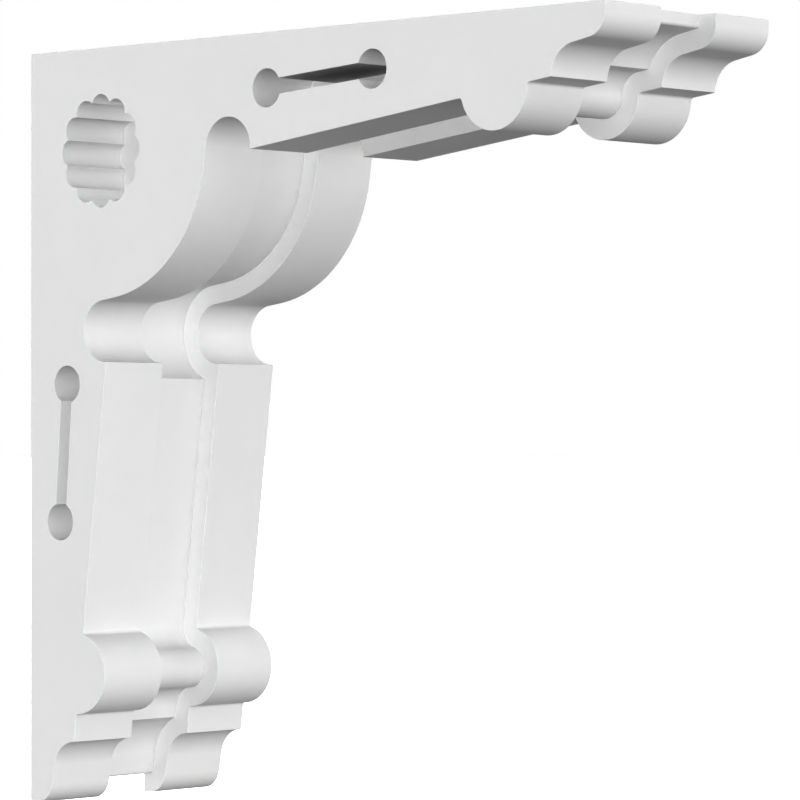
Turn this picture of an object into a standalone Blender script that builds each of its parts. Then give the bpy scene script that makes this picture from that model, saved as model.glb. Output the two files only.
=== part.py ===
"""White laminated corbel: a recessed core plate between two pierced outer plates.

Metres, +Z up. The wall is the plane Y = 0, the arm reaches out towards -Y, and X runs
across the thickness. The origin is the middle of the back, on the wall.

Outlines are worked out in two measures: "out", the distance from the wall, and "drop",
the distance below the top. The leg is the arm mirrored about the diagonal out = drop.
"""

import math

import bmesh
import bpy
from mathutils import Vector

MM = 0.001

# Whole object
PROJECTION = 406.4 * MM
WIDTH = 127.0 * MM
PLATE_GAP = 0.3 * MM
PLATE_THICKNESS = (WIDTH - 2 * PLATE_GAP) / 3
PLATE_PITCH = PLATE_THICKNESS + PLATE_GAP
CORE_INSET = 10.4 * MM

# Underside of the arm: a straight that rises towards the tip
UNDERSIDE_DROP_AT_WALL = 80.3 * MM
UNDERSIDE_RISE = math.tan(math.radians(7.0))

# Round brace in the corner, and the notch between it and the arm
BRACE_CENTRE = 55.4 * MM
BRACE_RADIUS = 79.3 * MM
NOTCH_CENTRE = Vector((151.7 * MM, 58.7 * MM))
NOTCH_RADIUS = 16.5 * MM

# Round lobe hanging from the arm, with a small fillet each side
LOBE_CENTRE = Vector((335.5 * MM, 37.1 * MM))
LOBE_RADIUS = 21.7 * MM
LOBE_FILLET = 1.8 * MM

# Tip of the arm: a cove, a short straight and a rounded nose
COVE_CENTRE = Vector((388.5 * MM, 34.9 * MM))
COVE_RADIUS = 16.1 * MM
NOSE_RADIUS = 12.1 * MM
NOSE_CENTRE = Vector((PROJECTION - NOSE_RADIUS, 5.2 * MM))

# Scalloped rosette cut through each outer plate
ROSETTE_CENTRE = Vector((55.3 * MM, 55.3 * MM))
ROSETTE_LOBES = 12
ROSETTE_LOBE_RADIUS = 7.3 * MM
ROSETTE_LOBE_RING = 23.0 * MM

# Dumbbell slot cut through each outer plate, in the arm and again in the leg
SLOT_INNER_EYE = Vector((180.0 * MM, 28.9 * MM))
SLOT_OUTER_EYE = Vector((254.2 * MM, 23.6 * MM))
SLOT_EYE_RADIUS = 10.0 * MM
SLOT_WIDTH = 8.1 * MM

# Finish
PLATE_SHADE = 0.80
CORE_SHADE = 0.79
MATTE_ROUGHNESS = 0.6

# Facets
CHORD_ERROR = 0.05 * MM
MINIMUM_ARC_FACETS = 3
SHARP_ANGLE = math.radians(30.0)
WELD_DISTANCE = 0.00001


def polar(centre, radius, angle):
    """Point at an angle on a circle, turned from "out" towards "drop"."""
    return centre + radius * Vector((math.cos(angle), math.sin(angle)))


def angle_at(centre, point):
    """Angle of a point seen from a circle's centre."""
    return math.atan2(point.y - centre.y, point.x - centre.x)


def arc(centre, radius, start, end, turning):
    """Points along an arc, both ends included: turning +1 goes from "out" towards "drop"."""
    sweep = (end - start) * turning % (2 * math.pi)
    facet = 2 * math.acos(1 - CHORD_ERROR / radius)
    facets = max(MINIMUM_ARC_FACETS, math.ceil(sweep / facet))
    return [polar(centre, radius, start + turning * sweep * i / facets) for i in range(facets + 1)]


def reverse_curve_normal(convex, convex_radius, concave, concave_radius, side):
    """Normal angle of the short straight that joins a convex arc to a concave one."""
    apart = concave - convex
    lean = math.acos((convex_radius + concave_radius) / apart.length)
    return math.atan2(apart.y, apart.x) + side * lean


def underside_point(inset):
    """Point of the arm's underside in line with the wall, moved in by the inset."""
    return Vector((0.0, UNDERSIDE_DROP_AT_WALL - inset * math.hypot(1.0, UNDERSIDE_RISE)))


def meet_underside(inset, centre, radius, side):
    """Where the arm's underside crosses a circle: side -1 near the wall, +1 near the tip."""
    along = Vector((1.0, -UNDERSIDE_RISE)).normalized()
    start = underside_point(inset)
    middle = start + along * (centre - start).dot(along)
    reach = math.sqrt(radius ** 2 - (centre - middle).length_squared)
    return middle + side * reach * along


def lobe_fillet(inset, side):
    """Centre of the fillet beside the lobe, and its angle seen from the lobe's centre."""
    centre = meet_underside(-LOBE_FILLET, LOBE_CENTRE, LOBE_RADIUS + LOBE_FILLET, side)
    return centre, angle_at(LOBE_CENTRE, centre)


def arm_edge(inset):
    """Free edge of the arm, from the top of the nose to the middle of the brace.

    The inset moves the edge into the material: a convex arc shrinks and a concave one grows.
    """
    tip_normal = reverse_curve_normal(NOSE_CENTRE, NOSE_RADIUS, COVE_CENTRE, COVE_RADIUS, -1)
    nose = arc(NOSE_CENTRE, NOSE_RADIUS - inset, 0.0, tip_normal, 1)

    cove_radius = COVE_RADIUS + inset
    cove_end = angle_at(COVE_CENTRE, meet_underside(inset, COVE_CENTRE, cove_radius, -1))
    cove = arc(COVE_CENTRE, cove_radius, tip_normal + math.pi, cove_end, -1)

    tip_fillet, tip_side = lobe_fillet(inset, 1)
    wall_fillet, wall_side = lobe_fillet(inset, -1)
    underside_angle = math.atan2(-1.0, -UNDERSIDE_RISE)
    fillet_radius = LOBE_FILLET + inset
    lobe = arc(tip_fillet, fillet_radius, underside_angle, tip_side + math.pi, -1)
    lobe += arc(LOBE_CENTRE, LOBE_RADIUS - inset, tip_side, wall_side, 1)[1:-1]
    lobe += arc(wall_fillet, fillet_radius, wall_side + math.pi, underside_angle, -1)

    notch_radius = NOTCH_RADIUS + inset
    notch_start = angle_at(NOTCH_CENTRE, meet_underside(inset, NOTCH_CENTRE, notch_radius, 1))
    brace_centre = Vector((BRACE_CENTRE, BRACE_CENTRE))
    brace_normal = reverse_curve_normal(brace_centre, BRACE_RADIUS, NOTCH_CENTRE, NOTCH_RADIUS, 1)
    notch = arc(NOTCH_CENTRE, notch_radius, notch_start, brace_normal + math.pi, -1)
    brace = arc(brace_centre, BRACE_RADIUS - inset, brace_normal, math.pi / 4, 1)

    front_corner = Vector((PROJECTION - inset, 0.0))
    return [front_corner] + nose + cove + lobe + notch + brace


def plate_outline(inset):
    """Closed outline of a plate: top, arm edge, then the same edge mirrored for the leg."""
    arm = arm_edge(inset)
    leg = [Vector((point.y, point.x)) for point in reversed(arm[:-1])]
    return [Vector((0.0, 0.0))] + arm + leg


def rosette_outline():
    """Outline of round lobes that meet in cusps around a ring."""
    half_pitch = math.pi / ROSETTE_LOBES
    half_gap = ROSETTE_LOBE_RING * math.sin(half_pitch)
    rise = ROSETTE_LOBE_RING * math.cos(half_pitch)
    cusp_radius = rise + math.sqrt(ROSETTE_LOBE_RADIUS ** 2 - half_gap ** 2)
    cusp = cusp_radius * Vector((math.cos(half_pitch), math.sin(half_pitch)))
    half_spread = math.atan2(cusp.y, cusp.x - ROSETTE_LOBE_RING)
    points = []
    for index in range(ROSETTE_LOBES):
        heading = 2 * half_pitch * index
        centre = polar(ROSETTE_CENTRE, ROSETTE_LOBE_RING, heading)
        points += arc(centre, ROSETTE_LOBE_RADIUS, heading - half_spread, heading + half_spread, 1)[:-1]
    return points


def slot_outline(first_eye, second_eye):
    """Outline of two round eyes joined by a straight slot."""
    heading = angle_at(first_eye, second_eye)
    half_mouth = math.asin(SLOT_WIDTH / 2 / SLOT_EYE_RADIUS)
    points = []
    for eye, mouth in ((first_eye, heading), (second_eye, heading + math.pi)):
        points += arc(eye, SLOT_EYE_RADIUS, mouth + half_mouth, mouth - half_mouth, 1)
    return points


def white_plastic(name, shade):
    """Matte white plastic."""
    material = bpy.data.materials.new(name)
    material.use_nodes = True
    shader = material.node_tree.nodes["Principled BSDF"]
    shader.inputs["Base Color"].default_value = (shade, shade, shade, 1.0)
    shader.inputs["Roughness"].default_value = MATTE_ROUGHNESS
    shader.inputs["Metallic"].default_value = 0.0
    return material


def flat_solid(name, outlines, across, material, parts):
    """Solid plate cut to a closed outline; any further outlines are cut right through it."""
    curve = bpy.data.curves.new(name, "CURVE")
    curve.dimensions = "2D"
    curve.fill_mode = "BOTH"
    curve.extrude = PLATE_THICKNESS / 2
    for outline in outlines:
        spline = curve.splines.new("POLY")
        spline.points.add(len(outline) - 1)
        for target, point in zip(spline.points, outline):
            target.co = (point.x, PROJECTION / 2 - point.y, 0.0, 1.0)
        spline.use_cyclic_u = True
    blank = bpy.data.objects.new(name + "_blank", curve)
    blank.location = (across, 0.0, 0.0)
    blank.rotation_euler = (math.radians(90.0), 0.0, math.radians(-90.0))
    parts.objects.link(blank)
    bpy.context.view_layer.update()

    mesh = bpy.data.meshes.new_from_object(blank.evaluated_get(bpy.context.evaluated_depsgraph_get()))
    weld = bmesh.new()
    weld.from_mesh(mesh)
    bmesh.ops.remove_doubles(weld, verts=weld.verts, dist=WELD_DISTANCE)
    bmesh.ops.recalc_face_normals(weld, faces=weld.faces)
    weld.to_mesh(mesh)
    weld.free()
    mesh.shade_smooth()
    mesh.set_sharp_from_angle(angle=SHARP_ANGLE)
    mesh.materials.clear()
    mesh.materials.append(material)

    plate = bpy.data.objects.new(name, mesh)
    plate.matrix_world = blank.matrix_world
    parts.objects.link(plate)
    bpy.data.objects.remove(blank)
    return plate


def build():
    """Empty the scene, then make the three plates."""
    for old in list(bpy.data.objects):
        bpy.data.objects.remove(old)
    parts = bpy.data.collections.new("corbel")
    bpy.context.scene.collection.children.link(parts)

    arm_slot = slot_outline(SLOT_INNER_EYE, SLOT_OUTER_EYE)
    leg_slot = [Vector((point.y, point.x)) for point in reversed(arm_slot)]
    outer = [plate_outline(0.0), rosette_outline(), arm_slot, leg_slot]

    left_white = white_plastic("left_plate_white", PLATE_SHADE)
    core_white = white_plastic("core_plate_white", CORE_SHADE)
    right_white = white_plastic("right_plate_white", PLATE_SHADE)

    flat_solid("left_plate", outer, -PLATE_PITCH, left_white, parts)
    flat_solid("core_plate", [plate_outline(CORE_INSET)], 0.0, core_white, parts)
    flat_solid("right_plate", outer, PLATE_PITCH, right_white, parts)


build()
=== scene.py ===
"""White laminated corbel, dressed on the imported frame, in a plain white studio.

The frame is in metres, +Z up. The wall is the plane Y = 0, the arm reaches out towards -Y, and
X runs across the thickness. Outlines are worked out in millimetres, in two measures: "out", the
distance from the wall, and "drop", the distance below the top. The leg is the arm mirrored about
the diagonal out = drop.
"""

import logging
import math
from dataclasses import dataclass, field
from enum import Enum

import bpy
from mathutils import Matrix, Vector
from mathutils.geometry import tessellate_polygon


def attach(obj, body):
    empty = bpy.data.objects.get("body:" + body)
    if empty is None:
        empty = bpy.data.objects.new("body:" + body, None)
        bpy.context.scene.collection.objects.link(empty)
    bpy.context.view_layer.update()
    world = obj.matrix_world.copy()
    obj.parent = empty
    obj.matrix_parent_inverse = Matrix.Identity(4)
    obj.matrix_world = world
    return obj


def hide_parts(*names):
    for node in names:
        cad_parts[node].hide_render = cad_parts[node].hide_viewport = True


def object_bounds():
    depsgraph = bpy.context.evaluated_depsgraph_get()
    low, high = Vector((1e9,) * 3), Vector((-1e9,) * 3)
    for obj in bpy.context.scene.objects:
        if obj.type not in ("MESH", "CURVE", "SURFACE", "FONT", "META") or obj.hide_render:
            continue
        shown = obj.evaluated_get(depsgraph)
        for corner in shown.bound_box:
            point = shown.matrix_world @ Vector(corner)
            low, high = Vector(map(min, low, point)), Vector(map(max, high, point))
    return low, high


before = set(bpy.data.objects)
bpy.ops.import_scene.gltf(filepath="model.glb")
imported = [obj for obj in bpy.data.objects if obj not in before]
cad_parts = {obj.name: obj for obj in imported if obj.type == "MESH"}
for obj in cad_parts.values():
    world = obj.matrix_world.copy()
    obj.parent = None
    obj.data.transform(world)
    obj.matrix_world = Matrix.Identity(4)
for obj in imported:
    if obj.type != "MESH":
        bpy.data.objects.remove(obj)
CAD_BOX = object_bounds()

MM = 0.001
TURN = 2 * math.pi
CHORD_ERROR = 0.015
MINIMUM_ARC_FACETS = 4
SOFTENED_TURN = math.radians(25.0)
NOISE_MIDDLE = 0.5
WHITE = (1.0, 1.0, 1.0, 1.0)
LOG = logging.getLogger("corbel")


class Bend(Enum):
    """Which way an arc of an outline turns."""

    BULGING = 1
    HOLLOW = -1


class Side(Enum):
    """Side of a round feature, along the limb."""

    TOWARDS_WALL = -1
    TOWARDS_TIP = 1


class Surface(Enum):
    """Which part of a plate a face belongs to; the value is its material slot."""

    SHEET = 0
    CUT = 1


class Layer(Enum):
    """Place of a plate in the laminate, counted from the middle towards +X."""

    LEFT = -1
    CORE = 0
    RIGHT = 1


class Facing(Enum):
    """Way that a flat side of a plate faces; the value is the sign of its X."""

    LEFT = -1
    RIGHT = 1


@dataclass(frozen=True)
class Circle:
    """Circle that arcs of an outline are taken from, in millimetres."""

    out: float
    drop: float
    radius: float

    @property
    def centre(self) -> Vector:
        """Centre as (out, drop)."""
        return Vector((self.out, self.drop))

    def grown(self, amount: float) -> "Circle":
        """Circle about the same centre with a larger radius."""
        return Circle(self.out, self.drop, self.radius + amount)

    def at(self, angle: float) -> Vector:
        """Point at an angle, turned from "out" towards "drop"."""
        return self.centre + self.radius * Vector((math.cos(angle), math.sin(angle)))

    def angle_to(self, point: Vector) -> float:
        """Angle of a point seen from the centre."""
        return math.atan2(point.y - self.drop, point.x - self.out)

    def arc(self, start: float, end: float, bend: Bend) -> list[Vector]:
        """Points along an arc.

        Args:
            start: Angle of the first point.
            end: Angle of the last point.
            bend: BULGING turns from "out" towards "drop", HOLLOW the other way.

        Returns:
            The points, both ends included.
        """
        turning = bend.value
        sweep = (end - start) * turning % TURN
        facet = 2 * math.acos(1 - CHORD_ERROR / self.radius)
        facets = max(MINIMUM_ARC_FACETS, math.ceil(sweep / facet))
        return [self.at(start + turning * sweep * step / facets) for step in range(facets + 1)]


def signed_area(outline: list[Vector]) -> float:
    """Area of a closed outline: above zero where it turns from "out" towards "drop"."""
    pairs = zip(outline, outline[1:] + outline[:1])
    return sum(here.x * after.y - after.x * here.y for here, after in pairs) / 2


def softened(outline: list[Vector], radius: float) -> list[Vector]:
    """Round each sharp corner of a closed outline with a small arc.

    Args:
        outline: Corner points, in order.
        radius: Radius of the small arcs, in millimetres.

    Returns:
        The outline with each corner above SOFTENED_TURN replaced by a few points.
    """
    points = []
    for index, corner in enumerate(outline):
        arriving = (corner - outline[index - 1]).normalized()
        leaving = (outline[(index + 1) % len(outline)] - corner).normalized()
        turn = arriving.angle(leaving)
        if turn < SOFTENED_TURN:
            points.append(corner)
            continue
        setback = radius * math.tan(turn / 2)
        middle = corner + (leaving - arriving).normalized() * radius / math.cos(turn / 2)
        easing = Circle(middle.x, middle.y, radius)
        bend = Bend.BULGING if arriving.x * leaving.y > arriving.y * leaving.x else Bend.HOLLOW
        start = easing.angle_to(corner - arriving * setback)
        end = easing.angle_to(corner + leaving * setback)
        points += easing.arc(start, end, bend)
    return points


@dataclass(frozen=True)
class CorbelProfile:
    """Side outline of the corbel: sizes in millimetres, alike on the arm and on the leg."""

    reach: float = 406.4
    underside_drop_at_wall: float = 80.3
    underside_rise: float = math.tan(math.radians(7.0))
    brace: Circle = Circle(55.4, 55.4, 79.3)
    notch: Circle = Circle(151.7, 58.7, 16.5)
    lobe: Circle = Circle(335.5, 37.1, 21.7)
    lobe_fillet: float = 1.8
    cove: Circle = Circle(388.5, 34.9, 16.1)
    nose: Circle = Circle(394.3, 5.2, 12.1)

    @staticmethod
    def shared_normal(bulging: Circle, hollow: Circle, side: Side) -> float:
        """Normal of the short straight that joins a bulging arc to a hollow one.

        Args:
            bulging: Circle of the bulging arc.
            hollow: Circle of the hollow arc.
            side: Which of the two crossing straights to take.

        Returns:
            The angle of the straight's normal on the bulging arc.
        """
        apart = hollow.centre - bulging.centre
        lean = math.acos((bulging.radius + hollow.radius) / apart.length)
        return math.atan2(apart.y, apart.x) + side.value * lean

    def meet_underside(self, inset: float, circle: Circle, side: Side) -> Vector:
        """Where the straight underside crosses a circle.

        Args:
            inset: How far the underside is moved into the material.
            circle: The circle to cross.
            side: Which of the two crossings to take.

        Returns:
            The crossing point as (out, drop).
        """
        along = Vector((1.0, -self.underside_rise)).normalized()
        raised = inset * math.hypot(1.0, self.underside_rise)
        start = Vector((0.0, self.underside_drop_at_wall - raised))
        middle = start + along * (circle.centre - start).dot(along)
        reach = math.sqrt(circle.radius ** 2 - (circle.centre - middle).length_squared)
        return middle + side.value * reach * along

    def tip(self, inset: float) -> list[Vector]:
        """Rounded nose and cove at the end of the arm.

        Args:
            inset: How far the edge is moved into the material.

        Returns:
            Points as (out, drop), from the top to the underside.
        """
        normal = self.shared_normal(self.nose, self.cove, Side.TOWARDS_WALL)
        cove = self.cove.grown(inset)
        cove_end = cove.angle_to(self.meet_underside(inset, cove, Side.TOWARDS_WALL))
        return (
            self.nose.grown(-inset).arc(0.0, normal, Bend.BULGING)
            + cove.arc(normal + math.pi, cove_end, Bend.HOLLOW)
        )

    def hanging_lobe(self, inset: float) -> list[Vector]:
        """Round lobe under the arm, with its two fillets.

        Args:
            inset: How far the edge is moved into the material.

        Returns:
            Points as (out, drop), from the tip's side to the wall's.
        """
        reached = self.lobe.grown(self.lobe_fillet)
        underside_angle = math.atan2(-1.0, -self.underside_rise)
        fillets = {}
        for side in Side:
            centre = self.meet_underside(-self.lobe_fillet, reached, side)
            fillets[side] = Circle(centre.x, centre.y, self.lobe_fillet + inset)
        tip, wall = fillets[Side.TOWARDS_TIP], fillets[Side.TOWARDS_WALL]
        tip_angle, wall_angle = self.lobe.angle_to(tip.centre), self.lobe.angle_to(wall.centre)
        return (
            tip.arc(underside_angle, tip_angle + math.pi, Bend.HOLLOW)
            + self.lobe.grown(-inset).arc(tip_angle, wall_angle, Bend.BULGING)[1:-1]
            + wall.arc(wall_angle + math.pi, underside_angle, Bend.HOLLOW)
        )

    def corner(self, inset: float) -> list[Vector]:
        """Round notch and the arm's half of the brace.

        Args:
            inset: How far the edge is moved into the material.

        Returns:
            Points as (out, drop), from the underside to the diagonal.
        """
        notch = self.notch.grown(inset)
        notch_start = notch.angle_to(self.meet_underside(inset, notch, Side.TOWARDS_TIP))
        normal = self.shared_normal(self.brace, self.notch, Side.TOWARDS_TIP)
        return (
            notch.arc(notch_start, normal + math.pi, Bend.HOLLOW)
            + self.brace.grown(-inset).arc(normal, math.pi / 4, Bend.BULGING)
        )

    def outline(self, inset: float) -> list[Vector]:
        """Closed outline of a plate.

        Args:
            inset: How far the free edge is moved into the material, in millimetres.

        Returns:
            Points as (out, drop): the top, the arm's edge, then the same edge mirrored for the leg.
        """
        front_corner = Vector((self.reach - inset, 0.0))
        arm = [front_corner] + self.tip(inset) + self.hanging_lobe(inset) + self.corner(inset)
        leg = [Vector((point.y, point.x)) for point in reversed(arm[:-1])]
        return [Vector((0.0, 0.0))] + arm + leg


@dataclass(frozen=True)
class Rosette:
    """Scalloped opening of round lobes that meet in cusps around a ring, in millimetres."""

    centre: Circle = Circle(55.3, 55.3, 23.0)
    lobes: int = 12
    lobe_radius: float = 7.3

    def outline(self) -> list[Vector]:
        """Closed outline of the opening.

        Returns:
            Points as (out, drop).
        """
        half_pitch = math.pi / self.lobes
        ring = self.centre.radius
        rise = ring * math.cos(half_pitch)
        cusp_radius = rise + math.sqrt(self.lobe_radius ** 2 - (ring * math.sin(half_pitch)) ** 2)
        across = cusp_radius * math.sin(half_pitch)
        along = cusp_radius * math.cos(half_pitch) - ring
        half_spread = math.atan2(across, along)
        points = []
        for index in range(self.lobes):
            heading = 2 * half_pitch * index
            middle = self.centre.at(heading)
            lobe = Circle(middle.x, middle.y, self.lobe_radius)
            points += lobe.arc(heading - half_spread, heading + half_spread, Bend.BULGING)[:-1]
        return points


@dataclass(frozen=True)
class DumbbellSlot:
    """Opening of two round eyes joined by a straight run, in millimetres."""

    inner_eye: Circle = Circle(180.0, 28.9, 10.0)
    outer_eye: Circle = Circle(254.2, 23.6, 10.0)
    run_width: float = 8.1

    def outline(self) -> list[Vector]:
        """Closed outline of the arm's slot.

        Returns:
            Points as (out, drop).
        """
        heading = self.inner_eye.angle_to(self.outer_eye.centre)
        half_mouth = math.asin(self.run_width / 2 / self.inner_eye.radius)
        points = []
        for eye, mouth in ((self.inner_eye, heading), (self.outer_eye, heading + math.pi)):
            points += eye.arc(mouth + half_mouth, mouth - half_mouth, Bend.BULGING)
        return points

    def mirrored_outline(self) -> list[Vector]:
        """Closed outline of the leg's slot as (out, drop)."""
        return [Vector((point.y, point.x)) for point in reversed(self.outline())]


def shared_group(name: str, inputs: list[str], outputs: dict[str, str]) -> bpy.types.NodeTree:
    """Start a shader node group with number inputs.

    Args:
        name: Name of the group.
        inputs: Name of each input; every finish sets its own value on it.
        outputs: Socket type of each output, by name.

    Returns:
        The new group, with its input and output nodes in place.
    """
    group = bpy.data.node_groups.new(name, "ShaderNodeTree")
    for label in inputs:
        group.interface.new_socket(label, in_out="INPUT", socket_type="NodeSocketFloat")
    for label, kind in outputs.items():
        group.interface.new_socket(label, in_out="OUTPUT", socket_type=kind)
    group.nodes.new("NodeGroupInput")
    group.nodes.new("NodeGroupOutput")
    return group


def add_noise(
    group: bpy.types.NodeTree, place: bpy.types.NodeSocket, detail: float, roughness: float
) -> bpy.types.NodeSocket:
    """Add a noise to a group, at the scale of the group's Size.

    Args:
        group: The group to add it to.
        place: The place on the plate, as a vector.
        detail: How many finer layers the noise has.
        roughness: How strong the finer layers are.

    Returns:
        The noise, a number about NOISE_MIDDLE.
    """
    noise = group.nodes.new("ShaderNodeTexNoise")
    noise.inputs["Detail"].default_value = detail
    noise.inputs["Roughness"].default_value = roughness
    group.links.new(place, noise.inputs["Vector"])
    group.links.new(group.nodes["Group Input"].outputs["Size"], noise.inputs["Scale"])
    return noise.outputs["Fac"]


def cloudiness_group() -> bpy.types.NodeTree:
    """Broad, faint unevenness of the white in a foamed sheet.

    Returns:
        Group with inputs Shade, Spread, Size, Roughness and Roughness Spread, and outputs Color
        and Roughness.
    """
    group = shared_group(
        "foamed_sheet_cloudiness",
        ["Shade", "Spread", "Size", "Roughness", "Roughness Spread"],
        {"Color": "NodeSocketColor", "Roughness": "NodeSocketFloat"},
    )
    nodes, links = group.nodes, group.links
    given, given_out = nodes["Group Input"], nodes["Group Output"]
    place = nodes.new("ShaderNodeTexCoord")
    clouds = add_noise(group, place.outputs["Object"], detail=4.0, roughness=0.55)
    centred = nodes.new("ShaderNodeMath")
    centred.operation = "SUBTRACT"
    centred.inputs[1].default_value = NOISE_MIDDLE
    links.new(clouds, centred.inputs[0])
    shifts = (("Shade", "Spread", "Color"), ("Roughness", "Roughness Spread", "Roughness"))
    for level, spread, target in shifts:
        shifted = nodes.new("ShaderNodeMath")
        shifted.operation = "MULTIPLY_ADD"
        links.new(centred.outputs[0], shifted.inputs[0])
        links.new(given.outputs[spread], shifted.inputs[1])
        links.new(given.outputs[level], shifted.inputs[2])
        links.new(shifted.outputs[0], given_out.inputs[target])
    return group


def grain_group() -> bpy.types.NodeTree:
    """Very fine, even grain of an unpainted foamed sheet.

    Returns:
        Group with input Size and output Height.
    """
    group = shared_group("foamed_sheet_grain", ["Size"], {"Height": "NodeSocketFloat"})
    place = group.nodes.new("ShaderNodeTexCoord")
    grain = add_noise(group, place.outputs["Object"], detail=3.0, roughness=0.6)
    group.links.new(grain, group.nodes["Group Output"].inputs["Height"])
    return group


def cutter_group() -> bpy.types.NodeTree:
    """Faint marks of a cutter that stood across the plate, drawn out along X.

    Returns:
        Group with inputs Size and Stretch, and output Height.
    """
    group = shared_group("cutter_marks", ["Size", "Stretch"], {"Height": "NodeSocketFloat"})
    nodes, links = group.nodes, group.links
    place = nodes.new("ShaderNodeTexCoord")
    parts = nodes.new("ShaderNodeSeparateXYZ")
    links.new(place.outputs["Object"], parts.inputs[0])
    drawn_out = nodes.new("ShaderNodeMath")
    drawn_out.operation = "MULTIPLY"
    links.new(parts.outputs["X"], drawn_out.inputs[0])
    links.new(nodes["Group Input"].outputs["Stretch"], drawn_out.inputs[1])
    joined = nodes.new("ShaderNodeCombineXYZ")
    links.new(drawn_out.outputs[0], joined.inputs["X"])
    links.new(parts.outputs["Y"], joined.inputs["Y"])
    links.new(parts.outputs["Z"], joined.inputs["Z"])
    marks = add_noise(group, joined.outputs[0], detail=2.0, roughness=0.5)
    links.new(marks, nodes["Group Output"].inputs["Height"])
    return group


@dataclass
class EffectGroups:
    """Node groups that the finishes share."""

    cloudiness: bpy.types.NodeTree
    grain: bpy.types.NodeTree
    cutter: bpy.types.NodeTree

    @classmethod
    def build(cls) -> "EffectGroups":
        """Make each group once."""
        return cls(cloudiness_group(), grain_group(), cutter_group())


@dataclass(frozen=True)
class SheetFinish:
    """Skin of the white foamed sheet, as it comes: matte, smooth and almost even."""

    name: str
    shade: float
    spread: float = 0.02
    cloud_size: float = 22.0
    roughness: float = 0.66
    roughness_spread: float = 0.08
    grain_size: float = 900.0
    grain_height: float = 0.00002
    grain_strength: float = 0.12

    def material(self, groups: EffectGroups) -> bpy.types.Material:
        """Make the material.

        Args:
            groups: The shared effects.

        Returns:
            The finished material.
        """
        material = bpy.data.materials.new(self.name)
        material.use_nodes = True
        nodes, links = material.node_tree.nodes, material.node_tree.links
        shader = nodes["Principled BSDF"]
        clouds = nodes.new("ShaderNodeGroup")
        clouds.node_tree = groups.cloudiness
        clouds.inputs["Shade"].default_value = self.shade
        clouds.inputs["Spread"].default_value = self.spread
        clouds.inputs["Size"].default_value = self.cloud_size
        clouds.inputs["Roughness"].default_value = self.roughness
        clouds.inputs["Roughness Spread"].default_value = self.roughness_spread
        links.new(clouds.outputs["Color"], shader.inputs["Base Color"])
        links.new(clouds.outputs["Roughness"], shader.inputs["Roughness"])
        bump = nodes.new("ShaderNodeBump")
        bump.inputs["Strength"].default_value = self.grain_strength
        bump.inputs["Distance"].default_value = self.grain_height
        links.new(self.relief(material, groups), bump.inputs["Height"])
        links.new(bump.outputs["Normal"], shader.inputs["Normal"])
        return material

    def relief(self, material: bpy.types.Material, groups: EffectGroups) -> bpy.types.NodeSocket:
        """Add the fine relief of the surface.

        Args:
            material: The material to add it to.
            groups: The shared effects.

        Returns:
            The height of the relief.
        """
        grain = material.node_tree.nodes.new("ShaderNodeGroup")
        grain.node_tree = groups.grain
        grain.inputs["Size"].default_value = self.grain_size
        return grain.outputs["Height"]


@dataclass(frozen=True)
class CutFinish(SheetFinish):
    """Edge of the sheet where the cutter passed: a little rougher, with faint marks across it."""

    roughness: float = 0.72
    grain_strength: float = 0.2
    mark_size: float = 500.0
    mark_stretch: float = 0.02

    def relief(self, material: bpy.types.Material, groups: EffectGroups) -> bpy.types.NodeSocket:
        """Add the grain and the cutter's marks.

        Args:
            material: The material to add them to.
            groups: The shared effects.

        Returns:
            The height of both together.
        """
        nodes, links = material.node_tree.nodes, material.node_tree.links
        marks = nodes.new("ShaderNodeGroup")
        marks.node_tree = groups.cutter
        marks.inputs["Size"].default_value = self.mark_size
        marks.inputs["Stretch"].default_value = self.mark_stretch
        both = nodes.new("ShaderNodeMath")
        both.operation = "ADD"
        links.new(super().relief(material, groups), both.inputs[0])
        links.new(marks.outputs["Height"], both.inputs[1])
        return both.outputs[0]


@dataclass(frozen=True)
class PlateFinish:
    """Both finishes of a plate: its flat sides and its sawn edge."""

    sheet: SheetFinish
    cut: CutFinish

    def materials(self, groups: EffectGroups) -> list[bpy.types.Material]:
        """Make both materials, in the order of Surface."""
        return [self.sheet.material(groups), self.cut.material(groups)]


@dataclass(frozen=True)
class Ring:
    """Ring of points round a plate's edge: its X in metres, its inset in millimetres, its lean.

    The lean is the angle by which the surface there turns towards +X.
    """

    x: float
    inset: float
    lean: float


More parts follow.
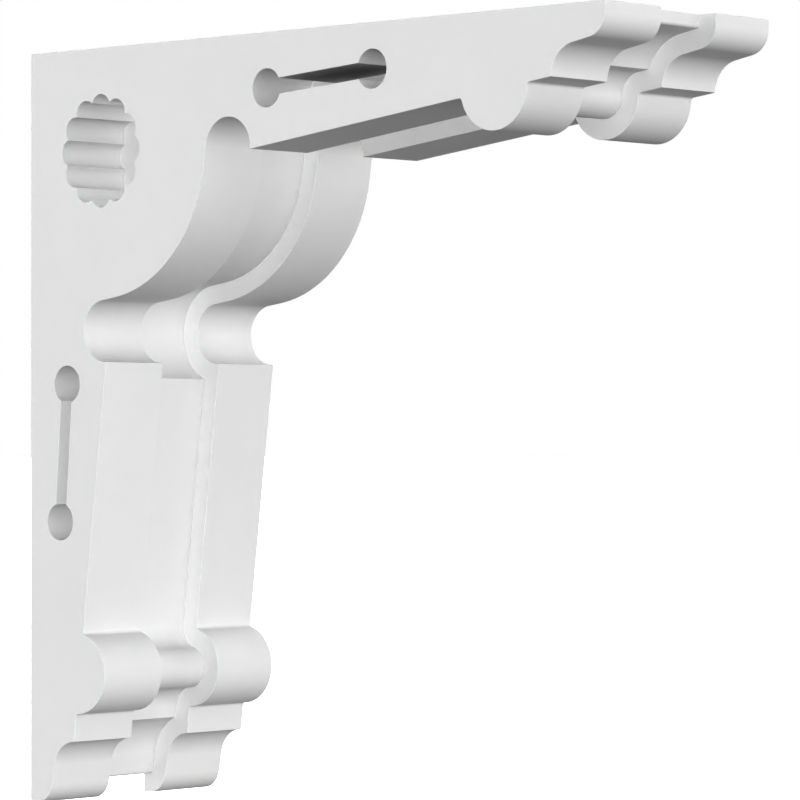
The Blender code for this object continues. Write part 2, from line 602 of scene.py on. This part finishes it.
@dataclass
class PlateSkin:
    """Points and faces of a plate's mesh, as they are gathered."""

    points: list[tuple[float, float, float]] = field(default_factory=list)
    normals: list[tuple[float, float, float]] = field(default_factory=list)
    faces: list[tuple[int, ...]] = field(default_factory=list)
    surfaces: list[int] = field(default_factory=list)

    def add_ring(self, ring: Ring, moved: list[Vector], outward: list[Vector]) -> list[int]:
        """Add one ring of points.

        Args:
            ring: Where the ring is.
            moved: Its points as (out, drop).
            outward: Normals of the outline at the points, as (out, drop).

        Returns:
            The numbers of the new points.
        """
        top, back = CAD_BOX[1].z, CAD_BOX[1].y
        first = len(self.points)
        along, level = math.sin(ring.lean), math.cos(ring.lean)
        for point, normal in zip(moved, outward):
            self.points.append((ring.x, back - point.x * MM, top - point.y * MM))
            self.normals.append((along, -normal.x * level, -normal.y * level))
        return list(range(first, len(self.points)))

    def add_wall(self, near: list[int], far: list[int]) -> None:
        """Join two rings by a band of faces, in the sawn finish.

        Args:
            near: Point numbers of the ring on the left.
            far: Point numbers of the ring on the right.
        """
        for index, corner in enumerate(near):
            before = index - 1
            self.faces.append((near[before], corner, far[index], far[before]))
            self.surfaces.append(Surface.CUT.value)

    def add_side(self, rims: list[list[int]], facing: Facing) -> None:
        """Close one flat side of the plate.

        Args:
            rims: Point numbers of the rim of each outline on that side.
            facing: Which way the side faces.
        """
        edges = [[Vector((*self.points[number][1:], 0.0)) for number in rim] for rim in rims]
        numbers = [number for rim in rims for number in rim]
        flat = [point for edge in edges for point in edge]
        for corners in tessellate_polygon(edges):
            first, second, third = (flat[corner] for corner in corners)
            outwards = (second - first).cross(third - first).z * facing.value > 0
            order = corners if outwards else corners[::-1]
            self.faces.append(tuple(numbers[corner] for corner in order))
            self.surfaces.append(Surface.SHEET.value)

    def mesh(self, name: str) -> bpy.types.Mesh:
        """Make the mesh, with its own normals.

        Args:
            name: Name of the mesh.

        Returns:
            The finished mesh.
        """
        mesh = bpy.data.meshes.new(name)
        mesh.from_pydata(self.points, [], self.faces)
        mesh.polygons.foreach_set("material_index", self.surfaces)
        mesh.polygons.foreach_set("use_smooth", [True] * len(self.faces))
        mesh.normals_split_custom_set_from_vertices(self.normals)
        mesh.update()
        return mesh


@dataclass
class SawnPlate:
    """One sheet of the laminate, sawn to outlines, with slightly eased edges, in millimetres."""

    name: str
    node: str
    slot: str
    layer: Layer
    outlines: list[list[Vector]]
    seam: float = 0.04
    arris: float = 0.25
    arris_steps: int = 3
    corner_radius: float = 0.4

    def across(self) -> tuple[float, float]:
        """Where the plate stands across the laminate, with a hairline for each glue line.

        Returns:
            Its lowest and highest X in metres.
        """
        pitch = (CAD_BOX[1].x - CAD_BOX[0].x) / len(Layer)
        half_seam = self.seam * MM / 2
        left_seam = 0.0 if self.layer is Layer.LEFT else half_seam
        right_seam = 0.0 if self.layer is Layer.RIGHT else half_seam
        middle = self.layer.value * pitch
        return middle - pitch / 2 + left_seam, middle + pitch / 2 - right_seam

    def loops(self) -> list[list[Vector]]:
        """Outlines with softened corners, turned so that the plate is on the same hand of all.

        Returns:
            The plate's own outline first, then those of its openings.
        """
        made = []
        for index, outline in enumerate(self.outlines):
            wanted = 1 if index == 0 else -1
            points = outline if signed_area(outline) * wanted > 0 else outline[::-1]
            made.append(softened(points, self.corner_radius))
        return made

    @staticmethod
    def directions(loop: list[Vector]) -> tuple[list[Vector], list[Vector]]:
        """Directions at each point of a closed loop.

        Args:
            loop: Points in order.

        Returns:
            Two lists: the mitre into the plate for an inset of one, and the outward normal.
        """
        mitres, normals = [], []
        for index, point in enumerate(loop):
            arriving = point - loop[index - 1]
            leaving = loop[(index + 1) % len(loop)] - point
            first = Vector((-arriving.y, arriving.x)).normalized()
            second = Vector((-leaving.y, leaving.x)).normalized()
            middle = (first + second).normalized()
            mitres.append(middle / middle.dot(first))
            normals.append(-(first * arriving.length + second * leaving.length).normalized())
        return mitres, normals

    def rings(self) -> list[Ring]:
        """Rings across the plate, round both of its eased edges.

        Returns:
            The rings, from the left side to the right one.
        """
        low, high = self.across()
        left, right = [], []
        for step in range(self.arris_steps + 1):
            angle = math.pi / 2 * step / self.arris_steps
            depth = self.arris * (1 - math.cos(angle)) * MM
            inset = self.arris * (1 - math.sin(angle))
            left.append(Ring(low + depth, inset, angle - math.pi / 2))
            right.insert(0, Ring(high - depth, inset, math.pi / 2 - angle))
        return left + right

    def skin(self) -> PlateSkin:
        """Gather the plate's closed surface, walls in the sawn finish and sides in the sheet's.

        Returns:
            The points and faces.
        """
        skin = PlateSkin()
        left_rims, right_rims = [], []
        for loop in self.loops():
            mitres, outward = self.directions(loop)
            numbers = []
            for ring in self.rings():
                moved = [point + mitre * ring.inset for point, mitre in zip(loop, mitres)]
                numbers.append(skin.add_ring(ring, moved, outward))
            for near, far in zip(numbers, numbers[1:]):
                skin.add_wall(near, far)
            left_rims.append(numbers[0])
            right_rims.append(numbers[-1])
        skin.add_side(left_rims, Facing.LEFT)
        skin.add_side(right_rims, Facing.RIGHT)
        return skin

    def build(self, materials: list[bpy.types.Material]) -> bpy.types.Object:
        """Make the plate, dress it and set it on the frame.

        Args:
            materials: The finish of its flat sides and the finish of its sawn edge.

        Returns:
            The finished piece.
        """
        mesh = self.skin().mesh(self.name)
        for material in materials:
            mesh.materials.append(material)
        piece = bpy.data.objects.new(self.name, mesh)
        bpy.context.scene.collection.objects.link(piece)
        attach(piece, "root")
        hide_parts(self.node)
        return piece


@dataclass
class Corbel:
    """The whole bracket: a core plate, set in along the free edge, between two pierced plates."""

    profile: CorbelProfile = CorbelProfile()
    rosette: Rosette = Rosette()
    limb_slot: DumbbellSlot = DumbbellSlot()
    core_inset: float = 10.4
    outer_finish: PlateFinish = PlateFinish(
        SheetFinish("outer_sheet_white", shade=0.80),
        CutFinish("outer_cut_white", shade=0.80),
    )
    core_finish: PlateFinish = PlateFinish(
        SheetFinish("core_sheet_white", shade=0.79),
        CutFinish("core_cut_white", shade=0.79),
    )

    def pierced_outlines(self) -> list[list[Vector]]:
        """Outlines of an outer plate.

        Returns:
            The plate's own outline, then those of the openings cut through it.
        """
        return [
            self.profile.outline(0.0),
            self.rosette.outline(),
            self.limb_slot.outline(),
            self.limb_slot.mirrored_outline(),
        ]

    def build(self, groups: EffectGroups) -> list[bpy.types.Object]:
        """Build the three plates.

        Args:
            groups: The shared effects.

        Returns:
            The finished pieces, from left to right.
        """
        outer = self.outer_finish.materials(groups)
        core = self.core_finish.materials(groups)
        pierced = self.pierced_outlines()
        inset = [self.profile.outline(self.core_inset)]
        left_plate = SawnPlate(
            "left_pierced_plate", "left_plate", "outer_plate_white", Layer.LEFT, pierced
        )
        core_plate = SawnPlate(
            "inset_core_plate", "core_plate", "core_plate_white", Layer.CORE, inset
        )
        right_plate = SawnPlate(
            "right_pierced_plate", "right_plate", "outer_plate_white", Layer.RIGHT, pierced
        )
        return [left_plate.build(outer), core_plate.build(core), right_plate.build(outer)]


@dataclass(frozen=True)
class FarSoftbox:
    """Large diffused light, far enough to fall evenly on the whole corbel; angles in degrees.

    The azimuth is 0 in front of the corbel (towards -Y) and 90 on its right (towards +X). A light
    that casts no shadow reaches every face that is turned towards it.
    """

    name: str
    azimuth: float
    elevation: float
    strength: float
    spread: float = 50.0
    casts_shadow: bool = True

    def build(self) -> bpy.types.Object:
        """Make the light.

        Returns:
            The lamp, turned towards the corbel.
        """
        light = bpy.data.lights.new(self.name, "SUN")
        light.angle = math.radians(self.spread)
        light.energy = self.strength
        light.use_shadow = self.casts_shadow
        around, up = math.radians(self.azimuth), math.radians(self.elevation)
        towards = Vector((
            math.sin(around) * math.cos(up),
            -math.cos(around) * math.cos(up),
            math.sin(up),
        ))
        lamp = bpy.data.objects.new(self.name, light)
        lamp.location = towards
        lamp.rotation_euler = towards.to_track_quat("Z", "Y").to_euler()
        bpy.context.scene.collection.objects.link(lamp)
        return lamp


@dataclass(frozen=True)
class Studio:
    """Plain white surroundings, soft light and the camera."""

    camera_place: tuple[float, float, float] = (-1.5130, -1.6165, -0.0008)
    camera_turn: tuple[float, float, float] = (90.418, 0.0, -47.187)
    lens: float = 178.88
    sensor: float = 36.0
    floor_height: float = -0.30
    floor_size: float = 60.0
    floor_shade: float = 0.9
    floor_roughness: float = 0.9
    floor_glow: float = 0.7
    dome: float = 0.41

    def build_floor(self) -> bpy.types.Object:
        """Pale floor below the corbel, which doesn't light it.

        Returns:
            The floor.
        """
        half = self.floor_size / 2
        mesh = bpy.data.meshes.new("studio_floor")
        corners = [(-half, -half), (half, -half), (half, half), (-half, half)]
        mesh.from_pydata([(x, y, self.floor_height) for x, y in corners], [], [(0, 1, 2, 3)])
        material = bpy.data.materials.new("studio_floor_white")
        material.use_nodes = True
        shader = material.node_tree.nodes["Principled BSDF"]
        shade = self.floor_shade
        shader.inputs["Base Color"].default_value = (shade, shade, shade, 1.0)
        shader.inputs["Roughness"].default_value = self.floor_roughness
        shader.inputs["Emission Color"].default_value = WHITE
        shader.inputs["Emission Strength"].default_value = self.floor_glow
        mesh.materials.append(material)
        floor = bpy.data.objects.new("studio_floor", mesh)
        floor.visible_diffuse = False
        floor.visible_glossy = False
        floor.visible_shadow = False
        bpy.context.scene.collection.objects.link(floor)
        return floor

    def build_world(self) -> bpy.types.World:
        """White backdrop for the camera, and an even, dimmer dome that lights the corbel.

        Returns:
            The world.
        """
        world = bpy.data.worlds.new("studio_dome")
        world.use_nodes = True
        nodes, links = world.node_tree.nodes, world.node_tree.links
        nodes.clear()
        dome = nodes.new("ShaderNodeBackground")
        dome.inputs["Color"].default_value = WHITE
        dome.inputs["Strength"].default_value = self.dome
        backdrop = nodes.new("ShaderNodeBackground")
        backdrop.inputs["Color"].default_value = WHITE
        path = nodes.new("ShaderNodeLightPath")
        either = nodes.new("ShaderNodeMixShader")
        links.new(path.outputs["Is Camera Ray"], either.inputs["Fac"])
        links.new(dome.outputs[0], either.inputs[1])
        links.new(backdrop.outputs[0], either.inputs[2])
        out = nodes.new("ShaderNodeOutputWorld")
        links.new(either.outputs[0], out.inputs["Surface"])
        bpy.context.scene.world = world
        return world

    def build_lights(self) -> list[bpy.types.Object]:
        """Soft lights round the corbel, and a key from the camera's side without a shadow.

        Returns:
            The lamps.
        """
        boxes = [
            FarSoftbox(
                "key_softbox",
                azimuth=-47.0,
                elevation=4.0,
                strength=1.83,
                spread=4.0,
                casts_shadow=False,
            ),
            FarSoftbox("front_left_softbox", azimuth=-20.0, elevation=35.0, strength=0.38),
            FarSoftbox("front_right_softbox", azimuth=60.0, elevation=5.0, strength=0.19),
            FarSoftbox("front_low_softbox", azimuth=20.0, elevation=-10.0, strength=0.61),
            FarSoftbox("under_softbox", azimuth=0.0, elevation=-80.0, strength=0.16),
            FarSoftbox("left_rear_softbox", azimuth=-140.0, elevation=5.0, strength=0.84),
            FarSoftbox("right_softbox", azimuth=100.0, elevation=20.0, strength=1.5),
            FarSoftbox("rear_softbox", azimuth=180.0, elevation=50.0, strength=1.4),
        ]
        return [box.build() for box in boxes]

    def build_camera(self) -> bpy.types.Object:
        """Nearly level camera at the photograph's angle.

        Returns:
            The camera.
        """
        data = bpy.data.cameras.new("studio_camera")
        data.lens = self.lens
        data.sensor_width = self.sensor
        camera = bpy.data.objects.new("studio_camera", data)
        camera.location = self.camera_place
        camera.rotation_euler = tuple(math.radians(angle) for angle in self.camera_turn)
        bpy.context.scene.collection.objects.link(camera)
        bpy.context.scene.camera = camera
        return camera

    def build(self) -> None:
        """Set up everything around the corbel."""
        self.build_floor()
        self.build_world()
        self.build_lights()
        self.build_camera()
        bpy.context.scene.view_settings.view_transform = "Raw"
        LOG.info("studio: floor, dome, lights and camera")


def main() -> None:
    """Build the corbel and the studio, and report each piece."""
    logging.basicConfig(level=logging.INFO, format="%(name)s: %(message)s")
    groups = EffectGroups.build()
    for piece in Corbel().build(groups):
        LOG.info("%s: %d faces", piece.name, len(piece.data.polygons))
    Studio().build()


if __name__ == "__main__":
    main()
